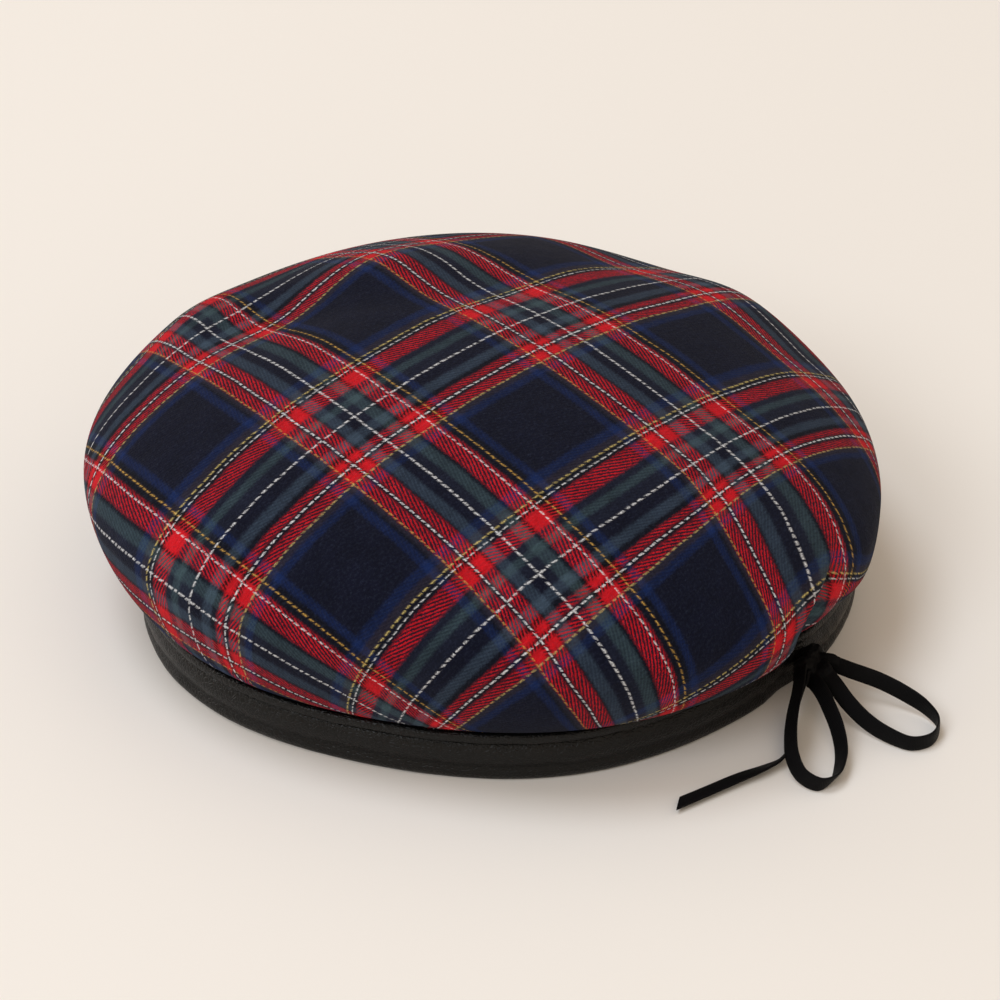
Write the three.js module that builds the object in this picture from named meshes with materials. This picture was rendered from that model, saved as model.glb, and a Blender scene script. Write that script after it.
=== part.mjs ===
import * as THREE from 'three';

// A soft tam o shanter: one piece of tartan wool, bound with leather and tied with a flat drawstring.
// Lengths are in millimetres and angles in degrees. The cap lies on the floor at z = 0, with +X to
// its right, where the bow is, and +Y to its back.

const clearance = 0.3;
const sidesAround = 76;

// The binding is an oval ring of leather folded round the crown's edge. Its outer leg bulges over
// the drawstring: bandSides gives heights as shares of the leg's and insets as shares of the bulge.
const bandHalfLength = 99.2;
const bandHalfWidth = 87.3;
const bandTurn = 5.7;
const bandLegHeight = 12;
const bandBulge = 1.6;
const bandSides = [
  { up: 0, in: 1 },
  { up: 0.1, in: 0.5 },
  { up: 0.28, in: 0.1 },
  { up: 0.48, in: 0 },
  { up: 0.7, in: 0.2 },
  { up: 0.88, in: 0.6 },
  { up: 1, in: 1 },
];
const leatherWall = 1.1;
const innerLegHeight = 13.2;

// The binding strays from its oval by shares of its reach, in waves round the cap, and the
// drawstring pulls it in beside the knot.
const bandWaves = [
  { waves: 3, along: 0.002, across: -0.003 },
  { waves: 4, along: -0.002, across: 0.003 },
  { waves: 5, along: 0.01, across: -0.007 },
];
const bandPull = { angle: -33, spread: 3, depth: 0.015 };

// A thin rolled edge runs round the top of the binding.
const weltWidth = 2.6;
const weltHeight = 3.1;

// The crown swells out over the binding and domes up from its rim.
const clothWall = 1.6;
const sideOverhang = 10.3;
const frontOverhang = 8.7;
const crownTurn = -13;
const crownCentre = { x: 2.3, y: -1.9 };
const bandCentre = { x: 3.6, y: -2.1 };
const undersideRise = 23.6;
const domeRise = 35.4;

// How full the dome and the underside are: 2 is an ellipse, and more is squarer.
const domeFullness = { across: 2.1, up: 1.9 };
const undersideFullness = { across: 1.9, up: 1.9 };

// The soft rim strays from its oval by shares of its reach, in waves round the crown.
const rimWaves = [
  { waves: 1, along: -0.013, across: 0.003 },
  { waves: 3, along: -0.015, across: -0.018 },
  { waves: 4, along: -0.002, across: 0.006 },
  { waves: 5, along: 0, across: 0.004 },
];

// Swells and dents of the dome: places and spreads are shares of the crown's half length and half
// width, rises are shares of the dome's rise, and turn is the direction of the longer spread.
const domeDents = [
  { name: 'back left ridge', x: -0.3, y: 0.63, turn: 14, long: 0.25, wide: 0.085, rise: 0.11 },
  { name: 'valley before it', x: -0.38, y: 0.45, turn: 10, long: 0.26, wide: 0.083, rise: -0.06 },
  { name: 'back left swell', x: -0.72, y: 0.48, turn: 40, long: 0.16, wide: 0.1, rise: 0.055 },
  { name: 'back right dip', x: 0.35, y: 0.7, turn: -20, long: 0.12, wide: 0.1, rise: -0.07 },
  { name: 'swell beside it', x: 0.64, y: 0.57, turn: -40, long: 0.13, wide: 0.11, rise: 0.08 },
  { name: 'right dip', x: 0.78, y: 0.31, turn: -60, long: 0.11, wide: 0.082, rise: -0.057 },
];

// Dents fade out towards the rim: full strength where the dome has risen 1 / dentFade of its rise.
const dentFade = 2.5;

// The drawstring gathers the underside above the knot: a deep fold and a swell beside it, their
// depths in shares of the side overhang.
const gathers = [
  { name: 'fold over the knot', angle: -27, spread: 5, depth: 0.75 },
  { name: 'swell beside it', angle: -15, spread: 9, depth: -0.5 },
];

// The share of the gathers' depth that the dome takes at its rim, the share of the way down the dome
// where that begins, and the share that the underside takes.
const gatherAtRim = 0.2;
const gatherStart = 0.6;
const gatherBelow = 0.7;

// The flat drawstring and its knot.
const ribbonWidth = 4.6;
const ribbonThickness = 0.9;
const tailCut = 0.9;
const knotAngle = -29;
const knotLength = 10.6;
const knotDepth = 7.4;
const knotHeight = 8.8;
const knotLift = 9.6;
const knotNestling = 0.3;

const weltFloor = bandLegHeight + clearance;
const weltTop = weltFloor + weltHeight;
const neckHeight = weltTop + clearance;
const rimHeight = neckHeight + undersideRise;
const crownHalfLength = bandHalfLength + sideOverhang;
const crownHalfWidth = bandHalfWidth + frontOverhang;
const hemInset = bandBulge + leatherWall + clearance;
const innerLegInset = hemInset + clothWall + clearance;
const hemFloor = leatherWall + clearance;

const radians = THREE.MathUtils.degToRad;

function ovalReach(halfLength, halfWidth, turn, angle) {
  const cosine = Math.cos(angle - radians(turn));
  const sine = Math.sin(angle - radians(turn));
  return (halfLength * halfWidth) / Math.hypot(halfWidth * cosine, halfLength * sine);
}

// How far a soft ring strays from its oval at an angle, as a share of its reach.
function stray(rows, angle) {
  let share = 0;
  for (const { waves, along, across } of rows) {
    share += along * Math.cos(waves * angle) + across * Math.sin(waves * angle);
  }
  return share;
}

// A smooth hump of height 1 round the cap, centred on middle, both in degrees.
function humpAt(angle, middle, spread) {
  const away = angle - radians(middle);
  const turned = Math.atan2(Math.sin(away), Math.cos(away));
  return Math.exp(-((turned / radians(spread)) ** 2) / 2);
}

// A point of the binding's oval ring, inside its outer face by inset.
function bandPoint(angle, inset, height) {
  const oval = ovalReach(bandHalfLength - inset, bandHalfWidth - inset, bandTurn, angle);
  const pull = bandPull.depth * humpAt(angle, bandPull.angle, bandPull.spread);
  const reach = oval * (1 + stray(bandWaves, angle) - pull);
  const x = bandCentre.x + reach * Math.cos(angle);
  const y = bandCentre.y + reach * Math.sin(angle);
  return new THREE.Vector3(x, y, height);
}

function rimReach(angle) {
  return ovalReach(crownHalfLength, crownHalfWidth, crownTurn, angle) * (1 + stray(rimWaves, angle));
}

function domeDent(x, y) {
  let rise = 0;
  for (const dent of domeDents) {
    const dx = x - crownCentre.x - dent.x * crownHalfLength;
    const dy = y - crownCentre.y - dent.y * crownHalfWidth;
    const turn = radians(dent.turn);
    const along = (dx * Math.cos(turn) + dy * Math.sin(turn)) / (dent.long * crownHalfLength);
    const beside = (dy * Math.cos(turn) - dx * Math.sin(turn)) / (dent.wide * crownHalfLength);
    rise += dent.rise * domeRise * Math.exp(-(along ** 2 + beside ** 2) / 2);
  }
  return rise;
}

function gatherDepth(angle) {
  let share = 0;
  for (const gather of gathers) {
    share += gather.depth * humpAt(angle, gather.angle, gather.spread);
  }
  return share * sideOverhang;
}

// share runs from 0 at the top of the dome to 1 at the rim.
function domePoint(angle, share, inset) {
  const turn = radians(90 * (1 - share));
  const gathered = gatherDepth(angle) * gatherAtRim * Math.max(0, (share - gatherStart) / (1 - gatherStart));
  const reach = (rimReach(angle) - inset) * Math.cos(turn) ** (2 / domeFullness.across) - gathered;
  const lift = Math.sin(turn) ** (2 / domeFullness.up);
  const x = crownCentre.x + reach * Math.cos(angle);
  const y = crownCentre.y + reach * Math.sin(angle);
  const z = rimHeight + (domeRise - inset) * lift + domeDent(x, y) * Math.min(1, dentFade * lift);
  return new THREE.Vector3(x, y, z);
}

// share runs from 0 at the rim to 1 at the neck, where the crown meets the top of the binding.
function undersidePoint(angle, share, inset) {
  const turn = radians(90 * share);
  const neck = bandPoint(angle, hemInset + inset, neckHeight + inset);
  const rim = domePoint(angle, 1, inset);
  const fold = gatherDepth(angle) * gatherBelow * Math.sin(Math.PI * share ** 2);
  const out = Math.cos(turn) ** (2 / undersideFullness.across);
  const down = Math.sin(turn) ** (2 / undersideFullness.up);
  const x = neck.x + (rim.x - neck.x) * out - fold * Math.cos(angle);
  const y = neck.y + (rim.y - neck.y) * out - fold * Math.sin(angle);
  return new THREE.Vector3(x, y, rim.z + (neck.z - rim.z) * down);
}

function ring(pointAt) {
  const points = [];
  for (let side = 0; side < sidesAround; side += 1) {
    points.push(pointAt((side / sidesAround) * 2 * Math.PI));
  }
  return points;
}

// One closed body through rings of equally many points. With looped, the last ring joins the first;
// otherwise a fan from each end ring to its own middle closes the body.
function bodyThrough(rings, looped) {
  const count = rings[0].length;
  const corners = rings.flat();
  const faces = [];
  const last = looped ? rings.length : rings.length - 1;
  for (let row = 0; row < last; row += 1) {
    const here = row * count;
    const next = ((row + 1) % rings.length) * count;
    for (let side = 0; side < count; side += 1) {
      const beside = (side + 1) % count;
      faces.push([here + side, here + beside, next + beside]);
      faces.push([here + side, next + beside, next + side]);
    }
  }
  if (!looped) {
    for (const end of [0, rings.length - 1]) {
      const middle = new THREE.Vector3();
      rings[end].forEach((corner) => middle.addScaledVector(corner, 1 / count));
      corners.push(middle);
      for (let side = 0; side < count; side += 1) {
        const edge = [end * count + side, end * count + ((side + 1) % count)];
        faces.push(end === 0 ? [corners.length - 1, edge[1], edge[0]] : [corners.length - 1, ...edge]);
      }
    }
  }
  let volume = 0;
  for (const [a, b, c] of faces) {
    volume += corners[a].dot(new THREE.Vector3().crossVectors(corners[b], corners[c]));
  }
  const outward = volume > 0 ? faces : faces.map(([a, b, c]) => [a, c, b]);
  const geometry = new THREE.BufferGeometry().setFromPoints(corners);
  geometry.setIndex(outward.flat());
  geometry.computeVertexNormals();
  return geometry;
}

function piece(name, geometry, look) {
  const mesh = new THREE.Mesh(geometry, new THREE.MeshStandardMaterial(look));
  mesh.name = name;
  return mesh;
}

// The outer face runs from the top of the dome to the foot of the hem, and the inner face back up.
function crown() {
  const domeRows = 13;
  const undersideRows = 6;
  const face = (inset) => {
    const rows = [];
    for (let row = 1; row <= domeRows; row += 1) {
      rows.push(ring((angle) => domePoint(angle, row / domeRows, inset)));
    }
    for (let row = 1; row <= undersideRows; row += 1) {
      rows.push(ring((angle) => undersidePoint(angle, row / undersideRows, inset)));
    }
    rows.push(ring((angle) => bandPoint(angle, hemInset + inset, hemFloor)));
    return rows;
  };
  return bodyThrough([...face(0), ...face(clothWall).reverse()], false);
}

// The binding's section, as insets from its outer face and heights above the floor.
function headband() {
  const section = bandSides.map((row) => ({ inset: row.in * bandBulge, height: row.up * bandLegHeight }));
  const inside = section.slice(1).reverse();
  for (const { inset, height } of inside) {
    section.push({ inset: inset + leatherWall, height: Math.max(height, leatherWall) });
  }
  section.push({ inset: innerLegInset, height: leatherWall });
  section.push({ inset: innerLegInset, height: innerLegHeight });
  section.push({ inset: innerLegInset + leatherWall, height: innerLegHeight });
  section.push({ inset: innerLegInset + leatherWall, height: 0 });
  return bodyThrough(section.map(({ inset, height }) => ring((angle) => bandPoint(angle, inset, height))), true);
}

function bandWelt() {
  const middleInset = hemInset - clearance - weltWidth / 2;
  const middleHeight = weltFloor + weltHeight / 2;
  const rings = [];
  for (let turn = 0; turn < 360; turn += 45) {
    const inset = middleInset + (weltWidth / 2) * Math.cos(radians(turn));
    const height = middleHeight + (weltHeight / 2) * Math.sin(radians(turn));
    rings.push(ring((angle) => bandPoint(angle, inset, height)));
  }
  return bodyThrough(rings, true);
}

// The middle of the knot, whose back nestles into the hollow between the binding and its welt.
function knotPlace() {
  return bandPoint(radians(knotAngle), knotNestling - clearance - knotDepth / 2, knotLift);
}

function bowKnot() {
  const geometry = new THREE.SphereGeometry(0.5, 12, 10);
  geometry.scale(knotDepth, knotLength, knotHeight);
  geometry.rotateZ(radians(knotAngle));
  const place = knotPlace();
  geometry.translate(place.x, place.y, place.z);
  return geometry;
}

// Routes of the flat drawstring, chosen by eye. x and y are from the middle of the knot and z is
// from the floor; lean is the way that the ribbon's upper edge points.
const loopLeftRoute = [
  { x: -3.4, y: -4.8, z: 9.8, lean: [0.7, 0, 0.7] },
  { x: -4.6, y: -13.1, z: 9.2, lean: [0.7, 0, 0.7] },
  { x: -6.1, y: -20, z: 8, lean: [0.7, 0, 0.7] },
  { x: -7.1, y: -28.3, z: 6.2, lean: [0.7, 0, 0.7] },
  { x: -6.8, y: -35.2, z: 4.4, lean: [0.7, 0, 0.7] },
  { x: -4.4, y: -41, z: 2.9, lean: [0.5, 0, 0.8] },
  { x: 0, y: -43.9, z: 2.5, lean: [0.4, 0, 0.9] },
  { x: 4, y: -41.4, z: 2.5, lean: [0.6, 0, 0.8] },
  { x: 6, y: -35, z: 2.6, lean: [0.7, 0, 0.7] },
  { x: 6.4, y: -29.2, z: 3, lean: [0.7, 0, 0.7] },
  { x: 5.6, y: -23, z: 4.4, lean: [0.7, 0, 0.7] },
  { x: 3.8, y: -17.3, z: 6.4, lean: [0.7, 0, 0.7] },
  { x: 1.8, y: -12, z: 7.9, lean: [0.7, 0, 0.7] },
  { x: -0.9, y: -5.4, z: 7.6, lean: [0.7, 0, 0.7] },
];
const loopRightRoute = [
  { x: 4, y: -2.3, z: 10.2, lean: [0, 0, 1] },
  { x: 10, y: -4.7, z: 9.2, lean: [0, 0, 1] },
  { x: 17.8, y: -6.6, z: 7.1, lean: [0, 0, 1] },
  { x: 24.4, y: -9.5, z: 5.1, lean: [0, 0, 1] },
  { x: 30, y: -13.6, z: 3.5, lean: [0, 0, 1] },
  { x: 33, y: -19, z: 2.7, lean: [0, 0, 1] },
  { x: 31, y: -25.2, z: 2.5, lean: [0, 0, 1] },
  { x: 25.6, y: -27.3, z: 2.5, lean: [0, 0, 1] },
  { x: 19.7, y: -24.2, z: 2.5, lean: [0, 0, 1] },
  { x: 14, y: -19.4, z: 3.3, lean: [0, 0, 1] },
  { x: 9.1, y: -14.2, z: 5.6, lean: [0, 0, 1] },
  { x: 5.6, y: -9.6, z: 8.1, lean: [0, 0, 1] },
  { x: 2.3, y: -4.9, z: 9.8, lean: [0, 0, 1] },
];
const tailRoute = [
  { x: -2.7, y: -5.2, z: 8.1, lean: [0.7, 0, 0.7] },
  { x: -4, y: -12.3, z: 5.4, lean: [0.3, 0, 0.9] },
  { x: -5.5, y: -18.5, z: 3.8, lean: [0.1, 0, 1] },
  { x: -6.6, y: -24.6, z: 2.8, lean: [0, 0, 1] },
  { x: -7.6, y: -29.6, z: 2.1, lean: [0.2, -0.3, 0.6] },
  { x: -9.8, y: -33.2, z: 1.6, lean: [0.3, -0.9, 0.4] },
  { x: -14.3, y: -36.4, z: 1.6, lean: [0.3, -0.9, 0.5] },
  { x: -21, y: -40.1, z: 1.5, lean: [0.5, -0.9, 0.3] },
  { x: -29, y: -45, z: 1.4, lean: [0.5, -0.9, 0.3] },
  { x: -37.5, y: -50.3, z: 1.4, lean: [0.5, -0.9, 0.3] },
];

// A closed strip along a route. cut slants its far end, in millimetres along for each one across.
function ribbon(route, steps, cut) {
  const place = knotPlace();
  const points = route.map(({ x, y, z }) => new THREE.Vector3(place.x + x, place.y + y, z));
  const middles = new THREE.CatmullRomCurve3(points);
  const leans = new THREE.CatmullRomCurve3(route.map(({ lean }) => new THREE.Vector3(...lean)), false, 'catmullrom');
  const rings = [];
  for (let step = 0; step <= steps; step += 1) {
    const middle = middles.getPoint(step / steps);
    const ahead = middles.getTangent(step / steps);
    const edge = leans.getPoint(step / steps);
    edge.addScaledVector(ahead, -edge.dot(ahead)).normalize();
    const face = new THREE.Vector3().crossVectors(ahead, edge);
    const section = [];
    for (let turn = 22.5; turn < 360; turn += 45) {
      const across = (ribbonWidth / 2) * Math.cos(radians(turn));
      const corner = middle.clone().addScaledVector(edge, across);
      if (step === steps) {
        corner.addScaledVector(ahead, cut * across);
      }
      corner.addScaledVector(face, (ribbonThickness / 2) * Math.sin(radians(turn)));
      section.push(corner);
    }
    rings.push(section);
  }
  return bodyThrough(rings, false);
}

const wool = { color: 0x1d2140, roughness: 0.95, metalness: 0 };
const leather = { color: 0x1c1b1a, roughness: 0.5, metalness: 0 };
const tape = { color: 0x0c0c0d, roughness: 0.6, metalness: 0 };

const group = new THREE.Group();
group.add(piece('crown', crown(), wool));
group.add(piece('headband', headband(), leather));
group.add(piece('band_welt', bandWelt(), leather));
group.add(piece('bow_knot', bowKnot(), tape));
group.add(piece('bow_loop_left', ribbon(loopLeftRoute, 30, 0), tape));
group.add(piece('bow_loop_right', ribbon(loopRightRoute, 28, 0), tape));
group.add(piece('bow_tail', ribbon(tailRoute, 22, tailCut), tape));

export default group;
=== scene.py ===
import bpy
import math
import numpy as np
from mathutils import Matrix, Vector, noise


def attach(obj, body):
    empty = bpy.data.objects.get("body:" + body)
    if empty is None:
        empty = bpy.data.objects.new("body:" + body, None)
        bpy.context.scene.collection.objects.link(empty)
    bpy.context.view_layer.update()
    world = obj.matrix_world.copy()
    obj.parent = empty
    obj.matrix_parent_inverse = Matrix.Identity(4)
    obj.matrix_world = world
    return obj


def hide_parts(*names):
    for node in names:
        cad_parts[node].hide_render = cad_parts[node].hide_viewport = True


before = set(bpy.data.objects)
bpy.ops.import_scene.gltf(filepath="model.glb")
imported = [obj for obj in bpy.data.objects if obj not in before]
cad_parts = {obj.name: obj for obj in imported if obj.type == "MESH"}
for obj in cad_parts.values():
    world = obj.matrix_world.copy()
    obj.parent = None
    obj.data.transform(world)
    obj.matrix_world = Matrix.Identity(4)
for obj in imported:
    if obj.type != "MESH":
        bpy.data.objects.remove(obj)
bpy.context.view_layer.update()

mm = 0.001  # shapes are worked out in millimetres and placed in metres
print("the packed model is loaded")


# Small helpers for pieces
def deselectAll():
    bpy.ops.object.select_all(action='DESELECT')


def pick(piece):
    deselectAll()
    piece.select_set(True)
    bpy.context.view_layer.objects.active = piece


def applyModifier(piece, kind, **settings):
    pick(piece)
    modifier = piece.modifiers.new(kind.lower(), kind)
    for name, value in settings.items():
        setattr(modifier, name, value)
    bpy.ops.object.modifier_apply(modifier=modifier.name)


def pointsOf(piece):
    flat = np.empty(len(piece.data.vertices) * 3)
    piece.data.vertices.foreach_get('co', flat)
    return flat.reshape(-1, 3)


def movePoints(piece, points):
    piece.data.vertices.foreach_set('co', (points * mm).ravel())
    piece.data.update()


def finishPiece(piece, replaced, look):
    pick(piece)
    bpy.ops.object.shade_smooth()
    piece.data.materials.clear()
    piece.data.materials.append(look)
    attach(piece, 'root')
    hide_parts(replaced)


def mapSurface(piece, name, along, across):
    layers = piece.data.uv_layers
    layer = layers[name] if name in layers else layers.new(name=name)
    corners = np.empty(len(piece.data.loops), dtype=int)
    piece.data.loops.foreach_get('vertex_index', corners)
    layer.data.foreach_set('uv', np.stack([along[corners], across[corners]], 1).ravel())
    layer.active = True


# The camera stands where the photo's did, with its zoom in widths of the picture
photoView = {
    'elevation': 37.6, 'target': (4.62, -1.8, 26.7), 'distance': 1440,
    'zoom': 5.235, 'sensor': 36, 'nearest': 0.05,
}


def makeCamera():
    rise = math.radians(photoView['elevation'])
    target = Vector(photoView['target']) * mm
    place = target + Vector((0, -math.cos(rise), math.sin(rise))) * photoView['distance'] * mm
    camera = bpy.data.objects.new('camera', bpy.data.cameras.new('camera'))
    bpy.context.scene.collection.objects.link(camera)
    camera.location = place
    camera.rotation_euler = (target - place).to_track_quat('-Z', 'Y').to_euler()
    camera.data.sensor_width = photoView['sensor']
    camera.data.lens = photoView['zoom'] * photoView['sensor']
    camera.data.clip_start = photoView['nearest']
    bpy.context.scene.camera = camera


makeCamera()
print("the camera is set")


# Shader nodes: sums and products of sockets are written as plain expressions
class Wire:
    def __init__(self, look, socket):
        self.look = look
        self.socket = socket

    def output(self, name):
        return Wire(self.look, self.socket.node.outputs[name])

    def math(self, operation, *others):
        return self.look.node('ShaderNodeMath', {'operation': operation}, [self, *others])

    def __add__(self, other):
        return self.math('ADD', other)

    def __sub__(self, other):
        return self.math('SUBTRACT', other)

    def __rsub__(self, other):
        return self.look.node('ShaderNodeMath', {'operation': 'SUBTRACT'}, [other, self])

    def __mul__(self, other):
        return self.math('MULTIPLY', other)

    def __truediv__(self, other):
        return self.math('DIVIDE', other)

    __radd__ = __add__
    __rmul__ = __mul__


class Look:
    def __init__(self, name):
        self.material = bpy.data.materials.new(name)
        self.material.use_nodes = True
        self.tree = self.material.node_tree
        self.tree.nodes.clear()

    def node(self, kind, settings=None, sockets=None, give=0):
        made = self.tree.nodes.new(kind)
        for name, value in (settings or {}).items():
            if name == 'stops':
                self.fillRamp(made.color_ramp, value)
            else:
                setattr(made, name, value)
        pairs = sockets.items() if isinstance(sockets, dict) else enumerate(sockets or [])
        for place, value in pairs:
            if isinstance(value, Wire):
                self.tree.links.new(value.socket, made.inputs[place])
            else:
                made.inputs[place].default_value = value
        return Wire(self, made.outputs[give])

    def fillRamp(self, ramp, stops):
        while len(ramp.elements) < len(stops):
            ramp.elements.new(1)
        for element, (place, colour) in zip(ramp.elements, stops):
            element.position = place
            element.color = colour

    def mix(self, share, first, second):
        return self.node('ShaderNodeMix', {'data_type': 'RGBA'}, {0: share, 6: first, 7: second}, 2)

    def tone(self, colour, strength):
        return self.node('ShaderNodeMix', {'data_type': 'RGBA', 'blend_type': 'MULTIPLY'},
                         {0: 1.0, 6: colour, 7: self.grey(strength)}, 2)

    def grey(self, strength):
        return self.node('ShaderNodeCombineColor', {}, [strength, strength, strength])

    def vector(self, x, y, z=0.0):
        return self.node('ShaderNodeCombineXYZ', {}, [x, y, z])

    def mapRange(self, value, low, high, to=(0.0, 1.0), kind='SMOOTHSTEP'):
        return self.node('ShaderNodeMapRange', {'interpolation_type': kind}, [value, low, high, *to])

    def noise(self, where, scale, detail=2.0, roughness=0.5):
        return self.node('ShaderNodeTexNoise', {}, {
            'Vector': where, 'Scale': scale, 'Detail': detail, 'Roughness': roughness})

    def bump(self, height, distance, strength=1.0, under=None):
        sockets = {'Height': height, 'Distance': distance, 'Strength': strength}
        if under:
            sockets['Normal'] = under
        return self.node('ShaderNodeBump', {}, sockets)

    def surface(self, sockets):
        shader = self.node('ShaderNodeBsdfPrincipled', {}, sockets)
        output = self.tree.nodes.new('ShaderNodeOutputMaterial')
        self.tree.links.new(shader.socket, output.inputs['Surface'])
        return self.material


def tint(red, green, blue, alpha=1.0):
    def linear(value):
        share = value / 255
        return share / 12.92 if share <= 0.04045 else ((share + 0.055) / 1.055) ** 2.4
    return (linear(red), linear(green), linear(blue), alpha)


# Studio: a pale floor, a warm pale room, a high soft lamp at the left, a soft panel in front at the left, and
# a low lamp behind at the left that gives the leather its sheen
studio = {
    'floorSize': 12, 'floorColour': tint(240, 238, 235), 'floorRoughness': 0.9,
    'room': tint(255, 236, 214), 'roomStrength': 0.65,
    'lamps': [
        {'name': 'key', 'place': (-950, 250, 3050), 'size': 1400, 'power': 30,
         'colour': (0.83, 0.91, 1)},
        {'name': 'panel', 'place': (-1300, -1500, 1900), 'size': 1200, 'power': 18,
         'colour': (0.85, 0.92, 1)},
        {'name': 'side', 'place': (-1800, 620, 380), 'size': 900, 'power': 6,
         'colour': (1, 0.97, 0.94)},
    ],
}


def makeStudio():
    deselectAll()
    bpy.ops.mesh.primitive_plane_add(size=studio['floorSize'], location=(0, 0, 0))
    floor = bpy.context.object
    floor.name = 'floor'
    look = Look('floor')
    paint = look.surface({'Base Color': studio['floorColour'], 'Roughness': studio['floorRoughness']})
    floor.data.materials.append(paint)
    world = bpy.data.worlds.new('room')
    world.use_nodes = True
    background = world.node_tree.nodes['Background']
    background.inputs['Color'].default_value = studio['room']
    background.inputs['Strength'].default_value = studio['roomStrength']
    bpy.context.scene.world = world
    for lamp in studio['lamps']:
        data = bpy.data.lights.new(lamp['name'], 'AREA')
        data.shape = 'DISK'
        data.size = lamp['size'] * mm
        data.energy = lamp['power']
        data.color = lamp['colour']
        thing = bpy.data.objects.new(lamp['name'], data)
        bpy.context.scene.collection.objects.link(thing)
        thing.location = Vector(lamp['place']) * mm
        thing.rotation_euler = (-thing.location).to_track_quat('-Z', 'Y').to_euler()
    bpy.context.scene.view_settings.view_transform = 'Standard'


makeStudio()
print("the studio is lit")


# The binding is an oval ring that the drawstring draws in beside the knot
band = {
    'halfLength': 99.2, 'halfWidth': 87.3, 'turn': 5.7, 'centre': (3.6, -2.1),
    'waves': {3: (0.002, -0.003), 4: (-0.002, 0.003), 5: (0.01, -0.007)},
    'pullAngle': -33, 'pullSpread': 3, 'pullDepth': 0.015,
    'ripples': [(0.35, 1.0, 0.5), (1.3, 5.0, 0.22)],  # scale, seed and depth
    'puckers': {'spread': 9, 'count': 150, 'depth': 0.28},
    'sidesAround': 420, 'sidesThrough': 84,
}


def ovalReach(halfLength, halfWidth, turn, angle):
    cosine = np.cos(angle - math.radians(turn))
    sine = np.sin(angle - math.radians(turn))
    return halfLength * halfWidth / np.hypot(halfWidth * cosine, halfLength * sine)


def stray(waves, angle):
    return sum(along * np.cos(count * angle) + across * np.sin(count * angle)
               for count, (along, across) in waves.items())


def humpAt(angle, middle, spread):
    away = angle - math.radians(middle)
    away = np.arctan2(np.sin(away), np.cos(away))
    return np.exp(-(away / math.radians(spread)) ** 2 / 2)


def bandPoint(angle, inset, height):
    oval = ovalReach(band['halfLength'] - inset, band['halfWidth'] - inset, band['turn'], angle)
    pull = band['pullDepth'] * humpAt(angle, band['pullAngle'], band['pullSpread'])
    reach = oval * (1 + stray(band['waves'], angle) - pull)
    x = band['centre'][0] + reach * np.cos(angle)
    y = band['centre'][1] + reach * np.sin(angle)
    return np.stack([x, y, height + 0 * angle], -1)


# The flat drawstring: routes from the middle of the knot, as on the plain part
ribbon = {
    'width': 4.6, 'thickness': 0.8, 'cut': 0.9, 'slantFrom': 6.0,
    'step': 0.45, 'sides': 16, 'measureSteps': 200,
}
knot = {'angle': -29, 'depth': 7.4, 'height': 8.8, 'lift': 9.6, 'nestling': 0.3, 'gap': 0.3}
loopLeftRoute = [  # x, y, z, lean of the upper edge
    (-3.4, -4.8, 9.8, (0.7, 0, 0.7)), (-4.6, -13.1, 9.2, (0.7, 0, 0.7)), (-6.1, -20, 8, (0.7, 0, 0.7)),
    (-7.1, -28.3, 6.2, (0.7, 0, 0.7)), (-6.8, -35.2, 4.4, (0.7, 0, 0.7)), (-4.4, -41, 2.9, (0.5, 0, 0.8)),
    (0, -43.9, 2.5, (0.4, 0, 0.9)), (4, -41.4, 2.5, (0.6, 0, 0.8)), (6, -35, 2.6, (0.7, 0, 0.7)),
    (6.4, -29.2, 3, (0.7, 0, 0.7)), (5.6, -23, 4.4, (0.7, 0, 0.7)), (3.8, -17.3, 6.4, (0.7, 0, 0.7)),
    (1.8, -12, 7.9, (0.7, 0, 0.7)), (-0.9, -5.4, 7.6, (0.7, 0, 0.7)),
]
loopRightRoute = [
    (4, -2.3, 10.2, (0.1, 0.4, 0.9)), (10, -4.7, 9.2, (0.1, 0.4, 0.9)), (17.8, -6.6, 7.1, (0.1, 0.4, 0.9)),
    (24.4, -9.5, 5.1, (0.1, 0.35, 0.9)), (30, -13.6, 3.5, (0.05, 0.2, 1)), (33, -19, 2.7, (0, 0, 1)),
    (31, -25.2, 2.5, (0, 0, 1)), (25.6, -27.3, 2.5, (0, 0.1, 1)), (19.7, -24.2, 2.6, (0.1, 0.3, 0.9)),
    (14, -19.4, 3.4, (0.3, 0.4, 0.8)), (9.1, -14.2, 5.6, (0.5, 0.4, 0.7)), (5.6, -9.6, 8.1, (0.7, 0.35, 0.5)),
    (2.3, -4.9, 9.8, (0.7, 0.35, 0.5)),
]
tailRoute = [
    (-2.7, -5.2, 8.1, (0.7, 0, 0.7)), (-4, -12.3, 5.4, (0.3, 0, 0.9)), (-5.5, -18.5, 3.8, (0.1, 0, 1)),
    (-6.6, -24.6, 2.8, (0, -0.3, 0.9)), (-7.6, -29.6, 2.4, (0, -0.7, 0.7)), (-9.8, -33.2, 2, (0, -0.8, 0.6)),
    (-14.3, -36.4, 1.8, (0.25, -0.85, 0.45)), (-21, -40.1, 1.6, (0.5, -0.9, 0.25)),
    (-29, -45, 1.4, (0.5, -0.9, 0.2)), (-37.5, -50.3, 1.3, (0.5, -0.9, 0.15)),
]


def knotPlace():
    angle = np.array(math.radians(knot['angle']))
    return bandPoint(angle, knot['nestling'] - knot['gap'] - knot['depth'] / 2, knot['lift'])


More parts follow.
